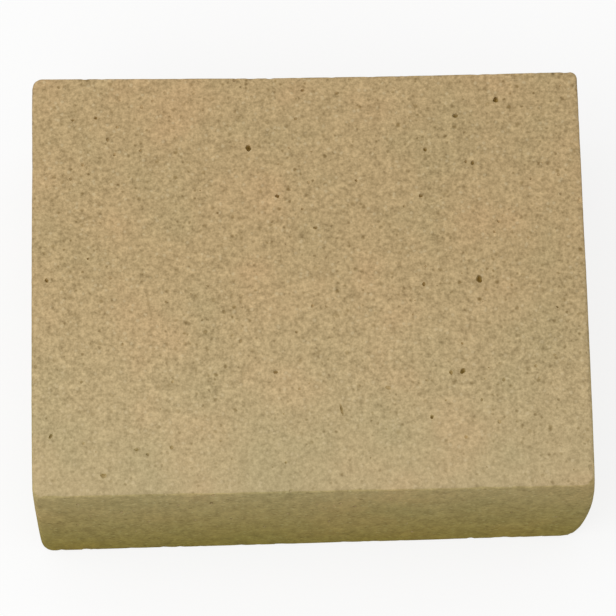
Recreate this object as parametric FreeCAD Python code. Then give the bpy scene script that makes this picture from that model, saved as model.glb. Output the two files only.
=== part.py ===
"""Refractory firebrick: one block of fireclay, pressed, fired and lying on its large bed face.

Millimetres, +Z up. The origin is the middle of the bed face that the brick lies on,
+X runs along its length and +Y across its width, away from the face that is seen in front.
"""

import FreeCAD
import Part
import os

# Driving dimensions
LENGTH = 180.0  # header face to header face, along X
WIDTH = 142.0  # stretcher face to stretcher face, along Y
THICKNESS = 64.0  # bed face to bed face, along Z: the usual firebrick course
CORNER_RADIUS = 3.0  # the four upright corners, as the mould leaves them
ARRIS_RADIUS = 1.0  # the edges round the two bed faces

PARTS_FOLDER = "parts"


def pressed_block():
    """The block with square edges, standing on the plane Z = 0 and centred over the origin."""
    low_corner = FreeCAD.Vector(-LENGTH / 2, -WIDTH / 2, 0)
    return Part.makeBox(LENGTH, WIDTH, THICKNESS, low_corner)


def arrises(block):
    """The edges that run round the two bed faces, which are the lowest and the highest face."""
    by_height = sorted(block.Faces, key=lambda face: face.CenterOfMass.z)
    return by_height[0].Edges + by_height[-1].Edges


def uprights(block):
    """The edges that stand between the two bed faces."""
    level = arrises(block)
    return [edge for edge in block.Edges if not any(edge.isSame(other) for other in level)]


def firebrick():
    """The block with its upright corners rounded first, and then the arrises that go round both beds."""
    block = pressed_block()
    cornered = block.makeFillet(CORNER_RADIUS, uprights(block))
    return cornered.makeFillet(ARRIS_RADIUS, arrises(cornered))


def main():
    os.makedirs(PARTS_FOLDER, exist_ok=True)
    brick = firebrick()
    brick.exportStep(os.path.join(PARTS_FOLDER, "firebrick.step"))
    print(f"firebrick: {len(brick.Solids)} solid, {brick.Volume / 1000:.1f} cm3, valid {brick.isValid()}")


main()
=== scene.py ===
"""Refractory firebrick: one pressed and fired block of sandy fireclay, on a white studio floor.

Lengths are written in millimetres and used in metres. +Z is up, the brick lies on its large bed face,
and the stretcher face that is seen in front looks along -Y.
"""

import math

import bpy
from mathutils import Matrix, Vector


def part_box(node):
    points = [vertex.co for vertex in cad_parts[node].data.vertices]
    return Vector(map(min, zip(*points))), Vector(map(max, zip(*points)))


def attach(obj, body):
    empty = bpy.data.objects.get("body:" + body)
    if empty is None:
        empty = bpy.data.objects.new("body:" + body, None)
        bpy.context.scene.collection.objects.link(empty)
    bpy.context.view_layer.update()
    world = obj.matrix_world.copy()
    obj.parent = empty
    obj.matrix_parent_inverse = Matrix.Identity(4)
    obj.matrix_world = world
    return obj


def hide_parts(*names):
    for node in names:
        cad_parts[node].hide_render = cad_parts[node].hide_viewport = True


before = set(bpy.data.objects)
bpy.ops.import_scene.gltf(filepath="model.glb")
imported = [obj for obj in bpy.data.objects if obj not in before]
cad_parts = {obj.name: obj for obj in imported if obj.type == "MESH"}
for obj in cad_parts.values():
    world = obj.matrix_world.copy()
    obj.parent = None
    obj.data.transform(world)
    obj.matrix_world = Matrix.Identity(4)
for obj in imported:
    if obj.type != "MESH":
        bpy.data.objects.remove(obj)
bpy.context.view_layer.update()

MM = 0.001
PER_CM2 = 1e4  # one to the square centimetre, counted to the square metre
SMALLEST = 1e-9  # keeps a division away from nought
NOISE_MIDDLE = 0.5  # a noise runs from 0 to 1
NODE = "firebrick"

# The block as it left the mould, and the wear of its corners, in millimetres
FAR_LEFT_RADIUS = 3.8
FAR_RIGHT_RADIUS = 2.6
NEAR_LEFT_RADIUS = 2.2
NEAR_RIGHT_RADIUS = 1.6
NEAR_LEFT_TOP_RADIUS = 3.4
NEAR_RIGHT_TOP_RADIUS = 4.6
NEAR_LEFT_FOOT_RADIUS = 4.5
NEAR_RIGHT_FOOT_RADIUS = 7.8
FOOT_WEAR_POWER = 3.0  # how soon the wear of the foot dies away up a near corner
TOP_WEAR_POWER = 10.0  # and the wear of the top down it
ARRIS_RADIUS = 1.0
NEAR_ARRIS_RADIUS = 1.6  # the upper arris in front has been rubbed more
ARRIS_PATCH = 14.0  # length over which an arris changes its radius
ARRIS_LEAST = 0.7  # of its radius
ARRIS_SWING = 0.6  # of its radius, from the least to the most

# How far the fired block stands inside the mould's shape, in millimetres
LEFT_END_SHY = 1.25  # at the top of a header
RIGHT_END_SHY = 1.38
END_FOOT_SHY = 0.45
LEFT_CURL_POWER = 1.0  # 1 is an even slope from foot to top
RIGHT_CURL_POWER = 4.5  # more than 1 draws in only the top
END_BOW_SHY = 0.45  # as much again where the top of a header meets the near side
END_BOW_POWER = 8.0  # how soon that dies away along the header
FAR_RIGHT_SHY = 0.9
FAR_MIDDLE_SHY = 1.15
NEAR_TOP_SHY = 0.17
NEAR_RIGHT_SHY = 0.35
FOOT_RIGHT_SHY = 1.75

# The relief of its faces, in millimetres
WAVE_LENGTH = 45.0
WAVE_DEPTH = 0.35
WAVE_DETAIL = 1.0
RELIEF_LENGTH = 3.0
RELIEF_DEPTH = 0.12
NICK_LENGTH = 3.2
NICK_DEPTH = 1.6
NICK_START = 0.56  # of the noise's range, so that a nick is an exception
NICK_REACH = (2.0, 0.5)  # in arris radii from the edge: where nicks start and where they are deepest

# The cells of its mesh, in millimetres
PLAIN_CUBE = (2.0, 2.0, 2.0)  # from -1 to 1 along each axis
CELL = 1.35
EDGE_BAND = 4.2  # along each edge, where the cells are finer
EDGE_CELLS = 7  # across that band

# The hollows left where grains fell out, in millimetres
PORE_SPACING = 3.4
PORES_PER_CM2 = 0.5
PORE_WIDTH = (0.5, 1.4)
PORE_DEPTH_SHARE = (0.35, 0.7)
PORE_EDGE_ROOM = 4.5
CHIP_SPACING = 4.0
CHIPS_PER_CM2 = 5.0
CHIP_WIDTH = (0.8, 4.0)
CHIP_DEPTH_SHARE = (0.15, 0.28)
CHIP_EDGE_REACH = 0.9
PIT_DEPTH_SHARE = 0.85
FAINT_DEPTH_SHARE = 0.5
RARITY_POWER = 2.0  # the larger a hollow is, the fewer there are
STRETCH = (0.7, 1.3)  # the length of a pore or chip, beside its width
LIFT_SHARE = 0.2  # of a hollow's depth: its middle stands this far out of the face
LUMP_SHARE = 0.75  # of a hollow's radius
LUMP_LENGTH = 1.0
STREWN_FACETS = 2  # how often the faces of a pore or chip are divided
PIT_FACETS = 3

# The random draws: the seed, and what is added to it for each of them
SEED = 7
CHIP_DRAW = 100
WIDTH_DRAW = 1
STRETCH_DRAW = 2
DEPTH_DRAW = 3
TURN_DRAW = 4

# The finished mesh, in millimetres
SCRATCH_ATTRIBUTES = ("edge_gap", "hollow_radius", "width", "length", "turn", "lean", "depth_share", "id")
CRUMB_POINTS = 1000.0  # a loose bit has fewer points than this
MERGE_GAP = 0.01  # points that are nearer to each other than this are one
FLUSH_DEPTH = 0.01  # less deep than this is still the face itself
SHEET_GAP = 2.0  # between two faces that are laid flat
SHARP_ANGLE = 40.0  # degrees: a fold that is tighter shows as an edge

# The pits that show on the upper bed: place along X and along Y, width, length and turn in degrees
BED_PITS = (
    (54.2, -1.0, 2.0, 2.9, 5),
    (-18.6, 45.2, 2.1, 2.5, 30),
    (61.7, 60.4, 1.9, 2.4, 0),
    (47.9, -31.7, 1.7, 2.1, -25),
    (44.2, -32.1, 1.2, 1.8, 10),
    (48.4, 55.2, 1.8, 1.5, 0),
    (-82.4, -50.7, 1.0, 1.8, -30),
    (-67.9, 56.6, 1.2, 1.3, 0),
    (38.3, 43.6, 1.4, 1.5, 20),
    (36.5, 27.7, 1.5, 1.3, 0),
    (-9.6, 28.4, 1.4, 1.4, 45),
    (-75.3, 56.1, 1.5, 1.0, 10),
    (36.5, -2.4, 1.2, 1.5, 0),
    (-11.3, -31.0, 1.4, 1.2, 0),
    (37.7, -46.8, 1.2, 1.5, -15),
    (9.3, -43.8, 0.9, 4.2, 12),
    (53.4, 38.6, 1.2, 1.8, 0),
    (-83.6, 1.2, 1.4, 1.3, 0),
    (-0.8, 65.0, 1.3, 1.0, 0),
)

# Shallower ones on that bed, in the same columns
FAINT_BED_PITS = (
    (-3.1, 55.1, 1.4, 1.0, 20),
    (-53.1, 60.2, 1.2, 1.5, 30),
    (-61.0, 53.2, 1.1, 1.1, 0),
    (-53.5, 45.0, 1.3, 1.2, 0),
    (-61.9, 43.8, 1.1, 1.3, 0),
    (-65.8, -63.8, 2.0, 1.6, -15),
    (-55.4, -55.7, 1.4, 1.1, 0),
    (-51.9, -57.2, 1.1, 1.0, 0),
    (-44.4, -55.2, 1.2, 1.2, 0),
)

# Those on the near stretcher: place along X and height, width, length and turn in degrees
NEAR_PITS = (
    (-32.3, 52.9, 1.3, 2.4, 10),
    (-31.5, 62.0, 1.6, 1.4, 0),
    (-42.7, 51.4, 1.2, 1.6, -20),
    (-15.8, 23.4, 0.9, 1.6, 0),
    (13.0, 45.1, 1.4, 1.2, 0),
    (4.9, 27.9, 1.2, 1.4, 30),
    (8.5, 48.9, 1.0, 1.3, 0),
    (-37.8, 33.4, 1.1, 1.4, 0),
    (-26.3, 33.8, 0.9, 1.5, 15),
    (63.5, 33.3, 1.0, 1.3, 0),
    (-8.3, 38.4, 1.2, 1.0, 0),
    (-61.0, 44.5, 1.3, 1.6, 0),
    (-74.4, 54.7, 1.2, 1.5, 0),
)

# The clay, as a screen shows its colours
CLAY_DARK = (100, 79, 40)
CLAY_LIGHT = (240, 210, 158)
GROG = (214, 194, 152)
ROUGHNESS = 0.94
SPECULAR_LEVEL = 0.2

# Tints of that clay, as shares of its red, green and blue light
ROSY = (1.025, 0.98, 0.975, 1.0)
OLIVE = (0.982, 1.012, 1.015, 1.0)
PALE = (1.03, 1.11, 1.18, 1.0)
# the clay's dark specks, and painted shade in small dents
SPECK_AND_DENT_SHADE = (0.30, 0.235, 0.06, 1.0)
# the hollows: some dirt, and painted shade that deepens with depth
HOLLOW_DIRT_AND_SHADE = (0.48, 0.38, 0.02, 1.0)
# painted light: a greenish bounce that lightens the near side
SIDE_BOUNCE_TINT = (1.02, 1.11, 0.98, 1.0)
# painted shade toward the foot, with an olive cast of bounced light
FOOT_SHADE_TINT = (0.61, 0.615, 0.29, 1.0)

# The sand in it, in millimetres. A share says how much it changes the tone
SAND_LENGTH = 1.35
SAND_SHARE = 1.0
SAND_DETAIL = 3.0
SAND_ROUGHNESS = 0.75
CLUMP_LENGTH = 4.0
CLUMP_SHARE = 0.35
CALM_REACH = (-26.0, -76.0)  # along Y: where the smoother strip of the beds starts and where it is full
CALM_SHARE = 0.38  # how much of the sand doesn't show there
NEAR_SIDE_CALM_SHARE = 0.32  # how much of the sand doesn't show on the near side
BUMP_STRENGTH = 0.5
BUMP_DEPTH = 0.35

# Its patches and stains, in millimetres
PATCH_LENGTH = 29.0
PATCH_SHARE = 0.15
ROSY_REACH = (0.5, 0.7)  # of the patches' noise: where the tint starts and where it is full
OLIVE_REACH = (0.5, 0.3)
PALE_REACH = (20.0, -75.0)  # along Y: where the paler end of the beds starts and where it is full
STAIN_SIZE = (3.5, 3.5, 7.0)  # the stains on the near side are longer upright
STAIN_SHARE = 0.36

# Its grog, and its dark specks and dimples, which also hold painted shade, in millimetres. A length is how
# far apart they are
STIR_LENGTH = 1.2  # how their outlines are made uneven
STIR_REACH = 0.7
STIR_DETAIL = 1.0
GROG_LENGTH = 2.0
GROG_RADIUS = 0.7
GROG_CORE = 0.5  # of that radius, inside which a piece is pale all over
GROG_RARITY = 0.5
GROG_SHARE = 0.4
GROG_HEIGHT = 0.4  # beside the height of the sand
GROG_POLISH = 0.1  # how much less rough it is
DIMPLE_LENGTH = 3.0
DIMPLE_RADIUS = 1.0
DIMPLE_SHARE = 0.5
SPECK_LENGTH = 1.9
SPECK_RADIUS = 0.7
SPECK_SHARE = 0.45
SPECK_CORE = 0.3  # of a radius, inside which a speck or dimple is dark all over
SWARM_LENGTH = 22.0  # of the places that are richer in specks
SWARM_REACH = (0.3, 0.65)  # of that noise: where they get richer and where they are richest
SWARM_LEAST = 0.4  # the share of the specks that every place has

# The painted light and shade on it, in millimetres: a greenish bounce on the near side, shade toward the
# foot, and shade with some dirt in the hollows
NEAR_SIDE_REACH = (15.0, -62.0)  # along Y, on the sides: where the near side's painted bounce and stains start and where they are full
# the height at which the painted shade toward the foot has faded out
FOOT_SHADE_TOP = 62.0
FOOT_SHADE_ELSEWHERE = 0.35  # the share of the painted foot shade away from the near side
TINT_EDGE_PATCH = 20.0
TINT_EDGE_RAGGED = 14.0  # how far its edge wanders
BED_TO_SIDE = (0.8, 0.5)  # how far up a normal points, from a bed round to a side
HOLLOW_REACH = (0.05, 1.1)  # the depth where a hollow starts to darken and where it is darkest
HOLLOW_SHARE = 0.76

# The curve between a screen's levels and light
TOP_LEVEL = 255
CURVE_START = 0.04045
CURVE_POWER = 2.4
CURVE_SHIFT = 0.055
STRAIGHT_SLOPE = 12.92

# The studio, in millimetres and watts
WHITE = (1.0, 1.0, 1.0, 1.0)
FLOOR_REACH = 3000.0
FLOOR_GLOW = 0.8
GROUND = (178, 176, 170)
SKY_STRENGTH = 0.685
SOFTBOX_WIDTH = 700.0
SOFTBOX_POWER = 2.3
SOFTBOX_PLACE = (-420.0, -200.0, 750.0)

# The camera, from the photograph's outline, in degrees and millimetres
CAMERA_AZIMUTH = -1.806
CAMERA_ELEVATION = 71.142
CAMERA_ROLL = 0.637
CAMERA_DISTANCE = 1178.0
CAMERA_AIM = (-0.60, -9.86)  # on the upper bed
CAMERA_LENS = 216.6
SENSOR_WIDTH = 36.0


class Graph:
    """A node tree that is being built."""

    def __init__(self, tree):
        self.tree = tree

    def node(self, kind, output, settings=None, sockets=None):
        """Adds a node, sets it up, feeds its sockets and gives back one of its outputs."""
        made = self.tree.nodes.new(kind)
        for name, value in (settings or {}).items():
            setattr(made, name, value)
        inputs = {socket.identifier: socket for socket in made.inputs}
        for name, value in (sockets or {}).items():
            self.feed(inputs[name], value)
        return Wire(self, made).also(output)

    def feed(self, socket, value):
        """Links a wire to a socket, or sets the socket's own value."""
        if isinstance(value, Wire):
            self.tree.links.new(value.socket, socket)
        elif socket.type == "VECTOR" and isinstance(value, (int, float)):
            socket.default_value = (value, value, value)
        else:
            socket.default_value = value

    def end(self, kind, socket, value):
        """Adds the tree's output node and feeds it."""
        self.feed(self.tree.nodes.new(kind).inputs[socket], value)

    def maths(self, operation, *values):
        """A Math node, or a Vector Math node where one of the values is a vector."""
        kinds = [value.socket.type for value in values if isinstance(value, Wire)]
        vector = "VECTOR" in kinds or "RGBA" in kinds
        kind, name = ("ShaderNodeVectorMath", "Vector") if vector else ("ShaderNodeMath", "Value")
        names = (name, name + "_001", name + "_002")
        return self.node(kind, name, {"operation": operation}, dict(zip(names, values)))

    def vector(self, x, y, z):
        return self.node("ShaderNodeCombineXYZ", "Vector", {}, {"X": x, "Y": y, "Z": z})

    def noise(self, place, length, detail=2.0, roughness=0.5):
        """Smooth noise from 0 to 1 whose lumps are about that long."""
        sockets = {"Vector": place * (1 / length), "Scale": 1.0, "Detail": detail, "Roughness": roughness}
        return self.node("ShaderNodeTexNoise", "Fac", {}, sockets)

    def stir(self, place, length):
        """A small push this way or that, for an uneven outline."""
        sockets = {"Vector": place * (1 / length), "Scale": 1.0, "Detail": STIR_DETAIL}
        return self.node("ShaderNodeTexNoise", "Color", {}, sockets) - NOISE_MIDDLE

    def grains(self, place, length):
        """Grains about that far apart: a place's distance from a grain's middle, and its chance."""
        sockets = {"Vector": place * (1 / length), "Scale": 1.0, "Randomness": 1.0}
        away = self.node("ShaderNodeTexVoronoi", "Distance", {}, sockets)
        return away * length, away.also("Color").parts()[0]

    def tint(self, share, colour, tint):
        """A colour that passes only that tint of its light, as far as the share says."""
        settings = {"data_type": "RGBA", "blend_type": "MULTIPLY"}
        sockets = {"Factor_Float": share, "A_Color": colour, "B_Color": tint}
        return self.node("ShaderNodeMix", "Result_Color", settings, sockets)

    def mix(self, share, first, second):
        """A colour between two others."""
        sockets = {"Factor_Float": share, "A_Color": first, "B_Color": second}
        return self.node("ShaderNodeMix", "Result_Color", {"data_type": "RGBA"}, sockets)


class Wire:
    """An output in a node tree. Sums with it add the nodes that work them out."""

    def __init__(self, graph, node, socket=None):
        self.graph = graph
        self.node = node
        self.socket = socket

    def also(self, output):
        """Another output of the same node."""
        found = next(socket for socket in self.node.outputs if socket.identifier == output)
        return Wire(self.graph, self.node, found)

    def __add__(self, other):
        return self.graph.maths("ADD", self, other)

    def __radd__(self, other):
        return self.graph.maths("ADD", other, self)

    def __sub__(self, other):
        return self.graph.maths("SUBTRACT", self, other)

    def __rsub__(self, other):
        return self.graph.maths("SUBTRACT", other, self)

    def __mul__(self, other):
        return self.graph.maths("MULTIPLY", self, other)

    def __rmul__(self, other):
        return self.graph.maths("MULTIPLY", other, self)

    def __truediv__(self, other):
        return self.graph.maths("DIVIDE", self, other)

    def __rtruediv__(self, other):
        return self.graph.maths("DIVIDE", other, self)

    def __pow__(self, other):
        return self.graph.maths("POWER", self, other)

    def __rpow__(self, other):
        return self.graph.maths("POWER", other, self)

    def __neg__(self):
        return self.graph.maths("MULTIPLY", self, -1.0)

    def __abs__(self):
        return self.graph.maths("ABSOLUTE", self)

    def __gt__(self, other):
        return self.graph.maths("GREATER_THAN", self, other)

    def __lt__(self, other):
        return self.graph.maths("LESS_THAN", self, other)

    def least(self, other):
        return self.graph.maths("MINIMUM", self, other)

    def most(self, other):
        return self.graph.maths("MAXIMUM", self, other)

    def sign(self):
        return self.graph.maths("SIGN", self)

    def unit(self):
        return self.graph.maths("NORMALIZE", self)

    def length(self):
        return self.graph.maths("LENGTH", self).also("Value")

    def parts(self):
        """The X, Y and Z of a vector."""
        split = self.graph.node("ShaderNodeSeparateXYZ", "X", {}, {"Vector": self})
        return split, split.also("Y"), split.also("Z")

    def rise(self, low, high):
        """0 at low and 1 at high, smooth in between. Where low is the higher one, it falls instead."""
        settings = {"interpolation_type": "SMOOTHSTEP"}
        sockets = {"Value": self, "From Min": low, "From Max": high}
        return self.graph.node("ShaderNodeMapRange", "Result", settings, sockets)


def light_of(level):
    """A screen's level, 0 to 255, as a share of full light."""
    share = level / TOP_LEVEL
    if share <= CURVE_START:
        return share / STRAIGHT_SLOPE
    return ((share + CURVE_SHIFT) / (1 + CURVE_SHIFT)) ** CURVE_POWER


def linear(red, green, blue):
    """A screen colour as the linear colour that shaders take."""
    return [light_of(red), light_of(green), light_of(blue), 1.0]


def empty_graph(holder):
    """The node tree of a new material or world, with nothing in it."""
    holder.use_nodes = True
    holder.node_tree.nodes.clear()
    return Graph(holder.node_tree)


# The brick's shape


def position(graph):
    return graph.node("GeometryNodeInputPosition", "Position")


def normal(graph):
    return graph.node("GeometryNodeInputNormal", "Normal")


def moved(graph, geometry, offset):
    sockets = {"Geometry": geometry, "Offset": offset}
    return graph.node("GeometryNodeSetPosition", "Geometry", {}, sockets)


def chance(graph, low, high, seed):
    """A random value for each point or instance."""
    sockets = {"Min_001": low, "Max_001": high, "Seed": seed}
    return graph.node("FunctionNodeRandomValue", "Value_001", {"data_type": "FLOAT"}, sockets)


def kept(graph, geometry, name, value):
    """Keeps a value for each point of a geometry, under a name."""
    settings = {"data_type": "FLOAT", "domain": "POINT"}
    sockets = {"Geometry": geometry, "Name": name, "Value": value}
    return graph.node("GeometryNodeStoreNamedAttribute", "Geometry", settings, sockets)


def named(graph, name):
    """A value that was kept under that name."""
    settings = {"data_type": "FLOAT"}
    return graph.node("GeometryNodeInputNamedAttribute", "Attribute", settings, {"Name": name})


def edge_gap(size, place):
    """How far a place on a face of the sharp block is from that face's nearest edge."""
    gaps = [side * 0.5 - abs(coordinate) for side, coordinate in zip(size, place.parts())]
    lower, higher = gaps[0].least(gaps[1]), gaps[0].most(gaps[1])
    return lower.most(higher.least(gaps[2]))


def cell_lines(coordinate, half, cells):
    """Spreads one coordinate of the plain cube, -1 to 1, so that cells are finer near both ends."""
    band = EDGE_BAND * MM
    share = 1 - 2 * EDGE_CELLS / cells
    reach = abs(coordinate)
    inner = (reach / share).least(1.0) * (half - band)
    outer = (reach - share).most(0.0) / (1 - share) * band
    return coordinate.sign() * (inner + outer)


def corner_radius(inputs, x, y, height):
    """The radius in plan: each upright corner has its own, and the near ones are worn at foot and top."""
    right, near = x > 0.0, y < 0.0
    left, far = 1 - right, 1 - near
    foot_wear = (1 - height) ** FOOT_WEAR_POWER
    top_wear = height ** TOP_WEAR_POWER

    def near_corner(name):
        middle = inputs[f"{name} radius"]
        foot = foot_wear * (inputs[f"{name} foot radius"] - middle)
        return middle + foot + top_wear * (inputs[f"{name} top radius"] - middle)

    on_left = near * near_corner("Near left") + far * inputs["Far left radius"]
    on_right = near * near_corner("Near right") + far * inputs["Far right radius"]
    return left * on_left + right * on_right


def rounded(graph, inputs, size, place):
    """Moves a place on the sharp block onto the block with round corners and arrises."""
    x, y, z = place.parts()
    half = [side * 0.5 for side in size]
    patch = graph.noise(place, ARRIS_PATCH * MM)
    rubbed = (y < 0.0) * (z > 0.0) * (inputs["Near arris radius"] - inputs["Arris radius"])
    arris = (inputs["Arris radius"] + rubbed) * (ARRIS_LEAST + ARRIS_SWING * patch)
    radius = corner_radius(inputs, x, y, (z + half[2]) / size[2])
    middle_x = x.least(half[0] - radius).most(radius - half[0])
    middle_y = y.least(half[1] - radius).most(radius - half[1])
    middle = graph.vector(middle_x, middle_y, 0.0)
    out = graph.vector(x - middle_x, y - middle_y, 0.0)
    reach = out.length().least(radius - arris) / out.length().most(SMALLEST)
    level = z.least(half[2] - arris).most(arris - half[2])
    core = middle + out * reach + graph.vector(0.0, 0.0, level)
    return core + (place - core).unit() * arris


def out_of_true(graph, size, place):
    """Draws the block in where firing left it short of the mould, and lifts it onto its bed."""
    x, y, z = place.parts()
    along = x / (size[0] * 0.5)
    far_share = y / size[1] + 0.5
    height = z / size[2] + 0.5
    rightward = along * 0.5 + 0.5
    hollow = (FAR_MIDDLE_SHY - FAR_RIGHT_SHY / 2) * MM
    far = rightward * (FAR_RIGHT_SHY * MM) + (1 - along * along) * hollow
    foot = (1 - height) * ((FOOT_RIGHT_SHY - NEAR_RIGHT_SHY) * MM) + NEAR_RIGHT_SHY * MM
    near = rightward * foot + height * (NEAR_TOP_SHY * MM)
    bow = (1 - far_share).most(0.0) ** END_BOW_POWER * END_BOW_SHY
    right = x > 0.0
    top_shy = LEFT_END_SHY + right * (RIGHT_END_SHY - LEFT_END_SHY) + bow
    curl = height.most(0.0) ** (LEFT_CURL_POWER + right * (RIGHT_CURL_POWER - LEFT_CURL_POWER))
    end = (END_FOOT_SHY + curl * (top_shy - END_FOOT_SHY)) * MM
    return graph.vector(-along * end, near * (1 - far_share) - far * far_share, size[2] * 0.5)


def cell_count(graph, inputs, side):
    """How many cells run along a side of the block."""
    inner = graph.maths("ROUND", (side - 2 * EDGE_BAND * MM) / inputs["Cell"])
    return inner + 2 * EDGE_CELLS


def pressed_block(graph, inputs):
    """The whole block before anything has broken out of it."""
    size = [inputs[name] for name in ("Length", "Width", "Thickness")]
    counts = [cell_count(graph, inputs, side) for side in size]
    sockets = {"Size": PLAIN_CUBE}
    sockets.update({f"Vertices {axis}": count + 1 for axis, count in zip("XYZ", counts)})
    cube = graph.node("GeometryNodeMeshCube", "Mesh", {}, sockets)
    on_cube = position(graph).parts()
    lines = [cell_lines(u, side * 0.5, count) for u, side, count in zip(on_cube, size, counts)]
    sharp = graph.vector(*lines)
    place = rounded(graph, inputs, size, sharp)
    cube = kept(graph, cube, "edge_gap", edge_gap(size, sharp))
    sockets = {"Geometry": cube, "Position": place + out_of_true(graph, size, place)}
    block = graph.node("GeometryNodeSetPosition", "Geometry", {}, sockets)
    here = position(graph)
    waves = graph.noise(here, WAVE_LENGTH * MM, WAVE_DETAIL) * (WAVE_DEPTH * MM)
    relief = graph.noise(here, RELIEF_LENGTH * MM) * (RELIEF_DEPTH * MM)
    worn = named(graph, "edge_gap").rise(*(share * ARRIS_RADIUS * MM for share in NICK_REACH))
    nick = (graph.noise(here, NICK_LENGTH * MM) - NICK_START).most(0.0)
    nick = nick * (NICK_DEPTH * MM / (1 - NICK_START))
    return moved(graph, block, normal(graph) * -(waves + relief + worn * nick))


def hollows(graph, points, turn, scale, facets):
    """Lumpy closed blobs at points, each to be cut out of the block."""
    points = kept(graph, points, "hollow_radius", scale.parts()[0])
    sockets = {"Radius": 1.0, "Subdivisions": facets}
    blob = graph.node("GeometryNodeMeshIcoSphere", "Mesh", {}, sockets)
    sockets = {"Points": points, "Instance": blob, "Rotation": turn, "Scale": scale}
    blobs = graph.node("GeometryNodeInstanceOnPoints", "Instances", {}, sockets)
    blobs = graph.node("GeometryNodeRealizeInstances", "Geometry", {}, {"Geometry": blobs})
    lump = graph.noise(position(graph), LUMP_LENGTH * MM) - NOISE_MIDDLE
    return moved(graph, blobs, normal(graph) * (lump * 2 * LUMP_SHARE * named(graph, "hollow_radius")))


def scattered(graph, block, chosen, spacing, density, width, depth_share, seed):
    """Hollows strewn over the chosen faces of the block."""
    settings = {"distribute_method": "POISSON"}
    sockets = {
        "Mesh": block,
        "Selection": chosen,
        "Distance Min": spacing,
        "Density Max": density,
        "Seed": seed,
    }
    points = graph.node("GeometryNodeDistributePointsOnFaces", "Points", settings, sockets)
    smallest, largest = (value * MM / 2 for value in width)
    across = smallest + (largest - smallest) * chance(graph, 0.0, 1.0, seed + WIDTH_DRAW) ** RARITY_POWER
    along = across * chance(graph, *STRETCH, seed + STRETCH_DRAW)
    deep = across * 2 * chance(graph, *depth_share, seed + DEPTH_DRAW)
    out = points.also("Normal")
    turn = spun(graph, points.also("Rotation"), chance(graph, 0.0, math.tau, seed + TURN_DRAW))
    lifted = moved(graph, points, out * (deep * LIFT_SHARE))
    return hollows(graph, lifted, turn, graph.vector(across, along, deep), STREWN_FACETS)


def turned(graph, axis, angle):
    sockets = {"Axis": axis, "Angle": angle}
    return graph.node("FunctionNodeAxisAngleToRotation", "Rotation", {}, sockets)


def spun(graph, rotation, angle):
    """A rotation after a spin about its own upright axis."""
    sockets = {"Rotation": rotation, "Rotate By": turned(graph, (0.0, 0.0, 1.0), angle)}
    return graph.node("FunctionNodeRotateRotation", "Rotation", {"rotation_space": "LOCAL"}, sockets)


def listed_pits(graph, block, points):
    """The pits that were listed, at the points that come in with the mesh, set on the block's surface."""
    across, along = named(graph, "width") * 0.5, named(graph, "length") * 0.5
    lean = named(graph, "lean")
    deep = across.least(along) * 2 * named(graph, "depth_share")
    turn = spun(graph, turned(graph, (1.0, 0.0, 0.0), lean), named(graph, "turn"))
    out = graph.vector(0.0, -graph.maths("SINE", lean), graph.maths("COSINE", lean))
    sockets = {"Target": block, "Source Position": position(graph)}
    surface = graph.node("GeometryNodeProximity", "Position", {"target_element": "FACES"}, sockets)
    lifted = moved(graph, points, surface - position(graph) + out * (deep * LIFT_SHARE))
    return hollows(graph, lifted, turn, graph.vector(across, along, deep), PIT_FACETS)


def cut(graph, block, blobs):
    settings = {"operation": "DIFFERENCE", "solver": "MANIFOLD"}
    sockets = {"Mesh 1": block, "Mesh 2": blobs}
    return graph.node("GeometryNodeMeshBoolean", "Mesh", settings, sockets)


def without_crumbs(graph, brick):
    """The brick without the loose bits and the slivers that cutting can leave in a hollow."""
    settings = {"data_type": "FLOAT", "domain": "POINT"}
    sockets = {"Value": 1.0, "Group Index": graph.node("GeometryNodeInputMeshIsland", "Island Index")}
    points = graph.node("GeometryNodeAccumulateField", "Total", settings, sockets)
    sockets = {"Geometry": brick, "Selection": points < CRUMB_POINTS}
    brick = graph.node("GeometryNodeDeleteGeometry", "Geometry", {"domain": "POINT"}, sockets)
    sockets = {"Geometry": brick, "Distance": MERGE_GAP * MM}
    return graph.node("GeometryNodeMergeByDistance", "Geometry", {}, sockets)


LENGTH_INPUTS = (
    "Length",
    "Width",
    "Thickness",
    "Far left radius",
    "Far right radius",
    "Near left radius",
    "Near right radius",
    "Near left top radius",
    "Near right top radius",
    "Near left foot radius",
    "Near right foot radius",
    "Arris radius",
    "Near arris radius",
    "Cell",
)


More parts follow.
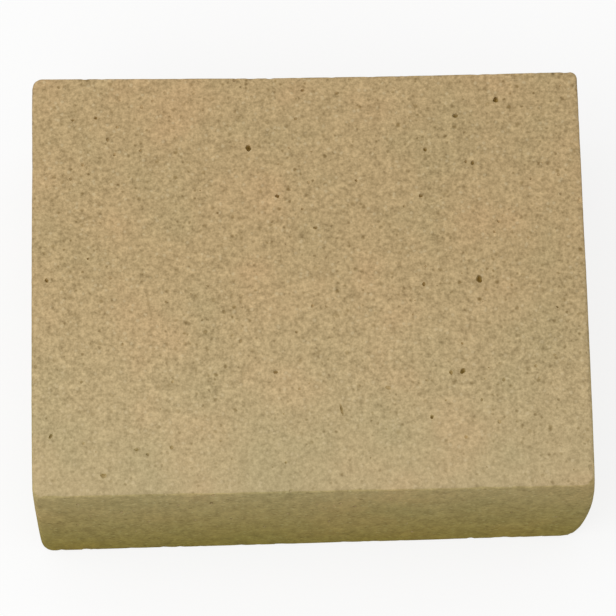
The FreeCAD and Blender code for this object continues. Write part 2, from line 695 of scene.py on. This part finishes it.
def brick_tree():
    """The tree that makes the brick from the list of its pits."""
    tree = bpy.data.node_groups.new("fired_brick", "GeometryNodeTree")
    kinds = {"Pits": "NodeSocketGeometry"}
    kinds.update({name: "NodeSocketFloat" for name in LENGTH_INPUTS})
    kinds.update({"Seed": "NodeSocketInt", "Clay": "NodeSocketMaterial"})
    for name, kind in kinds.items():
        tree.interface.new_socket(name, in_out="INPUT", socket_type=kind)
    tree.interface.new_socket("Brick", in_out="OUTPUT", socket_type="NodeSocketGeometry")
    graph = Graph(tree)
    group = tree.nodes.new("NodeGroupInput")
    inputs = {socket.name: Wire(graph, group, socket) for socket in group.outputs}

    block = pressed_block(graph, inputs)
    gap = named(graph, "edge_gap")
    pores = scattered(graph, block, gap > PORE_EDGE_ROOM * MM, PORE_SPACING * MM, PORES_PER_CM2 * PER_CM2,
                      PORE_WIDTH, PORE_DEPTH_SHARE, inputs["Seed"])
    chips = scattered(graph, block, gap < CHIP_EDGE_REACH * MM, CHIP_SPACING * MM, CHIPS_PER_CM2 * PER_CM2,
                      CHIP_WIDTH, CHIP_DEPTH_SHARE, inputs["Seed"] + CHIP_DRAW)
    chipped = cut(graph, block, chips)
    brick = chipped
    for blobs in (pores, listed_pits(graph, block, inputs["Pits"])):
        brick = cut(graph, brick, blobs)
    brick = without_crumbs(graph, brick)

    sockets = {"Target": chipped, "Source Position": position(graph)}
    depth = graph.node("GeometryNodeProximity", "Distance", {"target_element": "FACES"}, sockets)
    brick = kept(graph, brick, "hollow", depth)
    brick = graph.node("GeometryNodeRealizeInstances", "Geometry", {}, {"Geometry": brick})
    sockets = {"Geometry": brick, "Material": inputs["Clay"]}
    graph.end("NodeGroupOutput", "Brick", graph.node("GeometryNodeSetMaterial", "Geometry", {}, sockets))
    return tree


def pit_points(near, top):
    """A mesh of loose points, one for each listed pit, with its sizes and how far it leans from upright."""
    mesh = bpy.data.meshes.new("pit_places")
    bed_pits = FAINT_BED_PITS + BED_PITS
    pits = bed_pits + NEAR_PITS
    strong = len(pits) - len(FAINT_BED_PITS)
    places = [(x * MM, y * MM, top) for x, y, *_ in bed_pits]
    places += [(x * MM, near, z * MM) for x, z, *_ in NEAR_PITS]
    mesh.from_pydata(places, [], [])
    columns = {
        "width": [width * MM for _, _, width, _, _ in pits],
        "length": [length * MM for _, _, _, length, _ in pits],
        "turn": [math.radians(turn) for *_, turn in pits],
        "lean": [0.0] * len(bed_pits) + [math.pi / 2] * len(NEAR_PITS),
        "depth_share": [FAINT_DEPTH_SHARE] * len(FAINT_BED_PITS) + [PIT_DEPTH_SHARE] * strong,
    }
    for name, values in columns.items():
        mesh.attributes.new(name, "FLOAT", "POINT").data.foreach_set("value", values)
    return mesh


def sheet_places(size):
    """Where each face of the block lies on a flat square sheet, and that sheet's width.

    A face is named by its axis and side. It has the axes that run across and up it, and its corner's place.
    """
    gap = SHEET_GAP * MM
    second = size.x + 2 * gap
    third = second + size.z + gap
    above_bed, above_long = size.y + 2 * gap, size.x + 2 * gap
    places = {
        (2, 1): (0, 1, gap, gap),
        (2, -1): (0, 1, gap, above_bed),
        (1, -1): (2, 0, second, gap),
        (0, -1): (2, 1, second, above_long),
        (1, 1): (2, 0, third, gap),
        (0, 1): (2, 1, third, above_long),
    }
    return places, above_long + size.y + gap


def face_of(polygon, in_hollow, low, high):
    """The axis and side of the block's face that a polygon belongs to: in a hollow, the nearest one."""
    if not in_hollow:
        axis = max(range(3), key=lambda k: abs(polygon.normal[k]))
        return axis, 1 if polygon.normal[axis] > 0 else -1
    middle = polygon.center
    gaps = {(axis, -1): middle[axis] - low[axis] for axis in range(3)}
    gaps.update({(axis, 1): high[axis] - middle[axis] for axis in range(3)})
    return min(gaps, key=gaps.get)


def lay_flat(mesh, low, high):
    """Lays the six faces side by side at one scale, for whoever bakes the finish into a map."""
    places, width = sheet_places(high - low)
    hollow = mesh.attributes["hollow"].data
    sheet = mesh.uv_layers.new(name="OFBake")
    for polygon in mesh.polygons:
        in_hollow = max(hollow[index].value for index in polygon.vertices) > FLUSH_DEPTH * MM
        across, up, left, bottom = places[face_of(polygon, in_hollow, low, high)]
        for loop, index in zip(polygon.loop_indices, polygon.vertices):
            place = mesh.vertices[index].co - low
            sheet.uv[loop].vector = ((left + place[across]) / width, (bottom + place[up]) / width)


def fired_brick(clay):
    """The brick as one plain mesh, made by its tree and set down on the bed that it lies on."""
    low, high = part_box(NODE)
    size = high - low
    piece = bpy.data.objects.new("fired_brick", pit_points(low.y, high.z))
    bpy.context.scene.collection.objects.link(piece)
    tree = brick_tree()
    values = {
        "Length": size.x,
        "Width": size.y,
        "Thickness": size.z,
        "Far left radius": FAR_LEFT_RADIUS * MM,
        "Far right radius": FAR_RIGHT_RADIUS * MM,
        "Near left radius": NEAR_LEFT_RADIUS * MM,
        "Near right radius": NEAR_RIGHT_RADIUS * MM,
        "Near left top radius": NEAR_LEFT_TOP_RADIUS * MM,
        "Near right top radius": NEAR_RIGHT_TOP_RADIUS * MM,
        "Near left foot radius": NEAR_LEFT_FOOT_RADIUS * MM,
        "Near right foot radius": NEAR_RIGHT_FOOT_RADIUS * MM,
        "Arris radius": ARRIS_RADIUS * MM,
        "Near arris radius": NEAR_ARRIS_RADIUS * MM,
        "Cell": CELL * MM,
        "Seed": SEED,
        "Clay": clay,
    }
    modifier = piece.modifiers.new("shape", "NODES")
    modifier.node_group = tree
    for item in tree.interface.items_tree:
        if item.name in values:
            modifier[item.identifier] = values[item.name]
    evaluated = piece.evaluated_get(bpy.context.evaluated_depsgraph_get())
    mesh = bpy.data.meshes.new_from_object(evaluated)
    piece.modifiers.clear()
    for name in [attribute.name for attribute in mesh.attributes if attribute.name in SCRATCH_ATTRIBUTES]:
        mesh.attributes.remove(mesh.attributes[name])
    lowest = min(vertex.co.z for vertex in mesh.vertices)
    mesh.transform(Matrix.Translation((0.0, 0.0, low.z - lowest)))
    mesh.shade_smooth()
    mesh.set_sharp_from_angle(angle=math.radians(SHARP_ANGLE))
    lay_flat(mesh, low, high)
    piece.data = mesh
    return piece


# Its finish


def upright(graph):
    """1 on the sides and 0 on the two beds."""
    _, _, lift = graph.node("ShaderNodeTexCoord", "Normal").parts()
    return abs(lift).rise(*BED_TO_SIDE)


def side_bounce_and_foot_shade(graph, spot, side):
    """The near side, fading round its corners, and the painted shade that darkens toward the foot,
    strongest on the near side.
    """
    ragged = (graph.noise(spot, TINT_EDGE_PATCH) - NOISE_MIDDLE) * TINT_EDGE_RAGGED
    _, across, height = spot.parts()
    near_side = side * (across + ragged).rise(*NEAR_SIDE_REACH)
    toward_foot = (1 - (height + ragged) / FOOT_SHADE_TOP).most(0.0).least(1.0)
    return near_side, toward_foot * (FOOT_SHADE_ELSEWHERE + (1 - FOOT_SHADE_ELSEWHERE) * near_side)


def sand(graph, place):
    """The tone of the sand in the clay, about 0: fine grit and clumps of it."""
    grit = graph.noise(place, SAND_LENGTH, SAND_DETAIL, SAND_ROUGHNESS) - NOISE_MIDDLE
    clumps = graph.noise(place, CLUMP_LENGTH) - NOISE_MIDDLE
    return SAND_SHARE * grit + CLUMP_SHARE * clumps


def specks(graph, place, length, radius):
    """Small dark spots about that far apart, most of them faint and a few of them strong."""
    away, pick = graph.grains(place, length)
    return away.rise(radius, SPECK_CORE * radius) * pick * pick


def fireclay():
    """Sandy fired clay: a tan body of fine sand, with pale grog and dark specks; painted shade in its
    dents, in its hollows beside some dirt, and toward the foot; and a painted greenish bounce on the near
    side.
    """
    material = bpy.data.materials.new("fireclay")
    graph = empty_graph(material)
    spot = graph.node("ShaderNodeTexCoord", "Object") * (1 / MM)
    _, across, _ = spot.parts()
    side = upright(graph)
    bed = 1 - side
    near_side, foot_shade = side_bounce_and_foot_shade(graph, spot, side)

    calm = 1 - CALM_SHARE * bed * across.rise(*CALM_REACH) - NEAR_SIDE_CALM_SHARE * near_side
    grit = sand(graph, spot) * calm
    stains = graph.noise(spot / graph.vector(*STAIN_SIZE), 1.0) - NOISE_MIDDLE
    patch = graph.noise(spot, PATCH_LENGTH)
    tone = 0.5 + grit + STAIN_SHARE * stains * near_side + PATCH_SHARE * (patch - NOISE_MIDDLE)
    body = graph.mix(tone, linear(*CLAY_DARK), linear(*CLAY_LIGHT))

    body = graph.tint(patch.rise(*ROSY_REACH), body, ROSY)
    body = graph.tint(patch.rise(*OLIVE_REACH), body, OLIVE)
    body = graph.tint(bed * across.rise(*PALE_REACH), body, PALE)

    uneven = spot + graph.stir(spot, STIR_LENGTH) * STIR_REACH
    away, pick = graph.grains(uneven, GROG_LENGTH)
    grog = away.rise(GROG_RADIUS, GROG_CORE * GROG_RADIUS) * (pick > GROG_RARITY)
    body = graph.mix(grog * GROG_SHARE, body, linear(*GROG))

    dimple = specks(graph, uneven, DIMPLE_LENGTH, DIMPLE_RADIUS) * DIMPLE_SHARE
    speck = specks(graph, uneven, SPECK_LENGTH, SPECK_RADIUS) * SPECK_SHARE
    swarm = graph.noise(spot, SWARM_LENGTH).rise(*SWARM_REACH) + SWARM_LEAST
    # darkens the specks and dimples: partly the clay's own dark specks, partly painted shade in small dents
    body = graph.tint(dimple.most(speck) * swarm * calm, body, SPECK_AND_DENT_SHADE)

    hollow = graph.node("ShaderNodeAttribute", "Fac", {"attribute_name": "hollow"}) * (1 / MM)
    # darker with depth in the hollows: some dirt, and painted shade
    body = graph.tint(hollow.rise(*HOLLOW_REACH) * HOLLOW_SHARE, body, HOLLOW_DIRT_AND_SHADE)
    # painted greenish bounce light on the near side
    body = graph.tint(near_side, body, SIDE_BOUNCE_TINT)
    # painted shade, darker and olive toward the foot, strongest on the near side
    body = graph.tint(foot_shade, body, FOOT_SHADE_TINT)

    height = grit + grog * GROG_HEIGHT - dimple - speck
    bump = {"Strength": BUMP_STRENGTH, "Distance": BUMP_DEPTH * MM, "Height": height}
    graph.end("ShaderNodeOutputMaterial", "Surface", graph.node("ShaderNodeBsdfPrincipled", "BSDF", {}, {
        "Base Color": body,
        "Roughness": ROUGHNESS - GROG_POLISH * grog,
        "Specular IOR Level": SPECULAR_LEVEL,
        "Normal": graph.node("ShaderNodeBump", "Normal", {}, bump),
    }))
    return material


# The studio


def seen_directly(graph):
    """1 for what the camera sees, straight or in a shiny or clear surface, and 0 for light on its way."""
    path = graph.node("ShaderNodeLightPath", "Is Camera Ray")
    return (path + path.also("Is Glossy Ray") + path.also("Is Transmission Ray")).least(1.0)


def floor_paint():
    """White that glows a little and keeps a soft shadow where it is seen, and sends less light back up."""
    material = bpy.data.materials.new("floor_paint")
    graph = empty_graph(material)
    glow = graph.node("ShaderNodeEmission", "Emission", {}, {"Color": WHITE, "Strength": 1.0})
    paint = graph.node("ShaderNodeBsdfDiffuse", "BSDF", {}, {"Color": WHITE})
    sockets = {"Fac": FLOOR_GLOW, "Shader": paint, "Shader_001": glow}
    shown = graph.node("ShaderNodeMixShader", "Shader", {}, sockets)
    ground = graph.node("ShaderNodeBsdfDiffuse", "BSDF", {}, {"Color": linear(*GROUND)})
    sockets = {"Fac": seen_directly(graph), "Shader": ground, "Shader_001": shown}
    surface = graph.node("ShaderNodeMixShader", "Shader", {}, sockets)
    graph.end("ShaderNodeOutputMaterial", "Surface", surface)
    return material


def floor():
    """A plain square that the brick lies on."""
    reach = FLOOR_REACH * MM
    corners = [(-reach, -reach, 0), (reach, -reach, 0), (reach, reach, 0), (-reach, reach, 0)]
    mesh = bpy.data.meshes.new("floor")
    mesh.from_pydata(corners, [], [(0, 1, 2, 3)])
    mesh.materials.append(floor_paint())
    plane = bpy.data.objects.new("floor", mesh)
    bpy.context.scene.collection.objects.link(plane)


def sky():
    """Even light from all round, behind which the camera sees white."""
    world = bpy.data.worlds.new("studio")
    bpy.context.scene.world = world
    graph = empty_graph(world)
    seen = seen_directly(graph)
    strength = seen + (1 - seen) * SKY_STRENGTH
    light = graph.node("ShaderNodeBackground", "Background", {}, {"Color": WHITE, "Strength": strength})
    graph.end("ShaderNodeOutputWorld", "Surface", light)


def softbox():
    """A round soft light, high on the left in front, that looks at the brick."""
    lamp = bpy.data.lights.new("softbox", "AREA")
    lamp.shape = "DISK"
    lamp.size = SOFTBOX_WIDTH * MM
    lamp.energy = SOFTBOX_POWER
    holder = bpy.data.objects.new("softbox", lamp)
    holder.location = Vector(SOFTBOX_PLACE) * MM
    holder.rotation_euler = (-holder.location).to_track_quat("-Z", "Y").to_euler()
    bpy.context.scene.collection.objects.link(holder)


def camera():
    """The camera where the photograph was taken from."""
    azimuth, elevation = math.radians(CAMERA_AZIMUTH), math.radians(CAMERA_ELEVATION)
    level = math.cos(elevation)
    back = Vector((math.sin(azimuth) * level, -math.cos(azimuth) * level, math.sin(elevation)))
    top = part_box(NODE)[1].z
    aim = Vector((CAMERA_AIM[0] * MM, CAMERA_AIM[1] * MM, top))
    data = bpy.data.cameras.new("camera")
    data.lens = CAMERA_LENS
    data.sensor_width = SENSOR_WIDTH
    eye = bpy.data.objects.new("camera", data)
    turn = (-back).to_track_quat("-Z", "Y").to_matrix().to_4x4()
    roll = Matrix.Rotation(math.radians(CAMERA_ROLL), 4, "Z")
    eye.matrix_world = Matrix.Translation(aim + back * (CAMERA_DISTANCE * MM)) @ turn @ roll
    bpy.context.scene.collection.objects.link(eye)
    bpy.context.scene.camera = eye


bpy.context.scene.view_settings.view_transform = "Standard"
brick = fired_brick(fireclay())
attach(brick, "root")
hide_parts(NODE)
floor()
sky()
softbox()
camera()
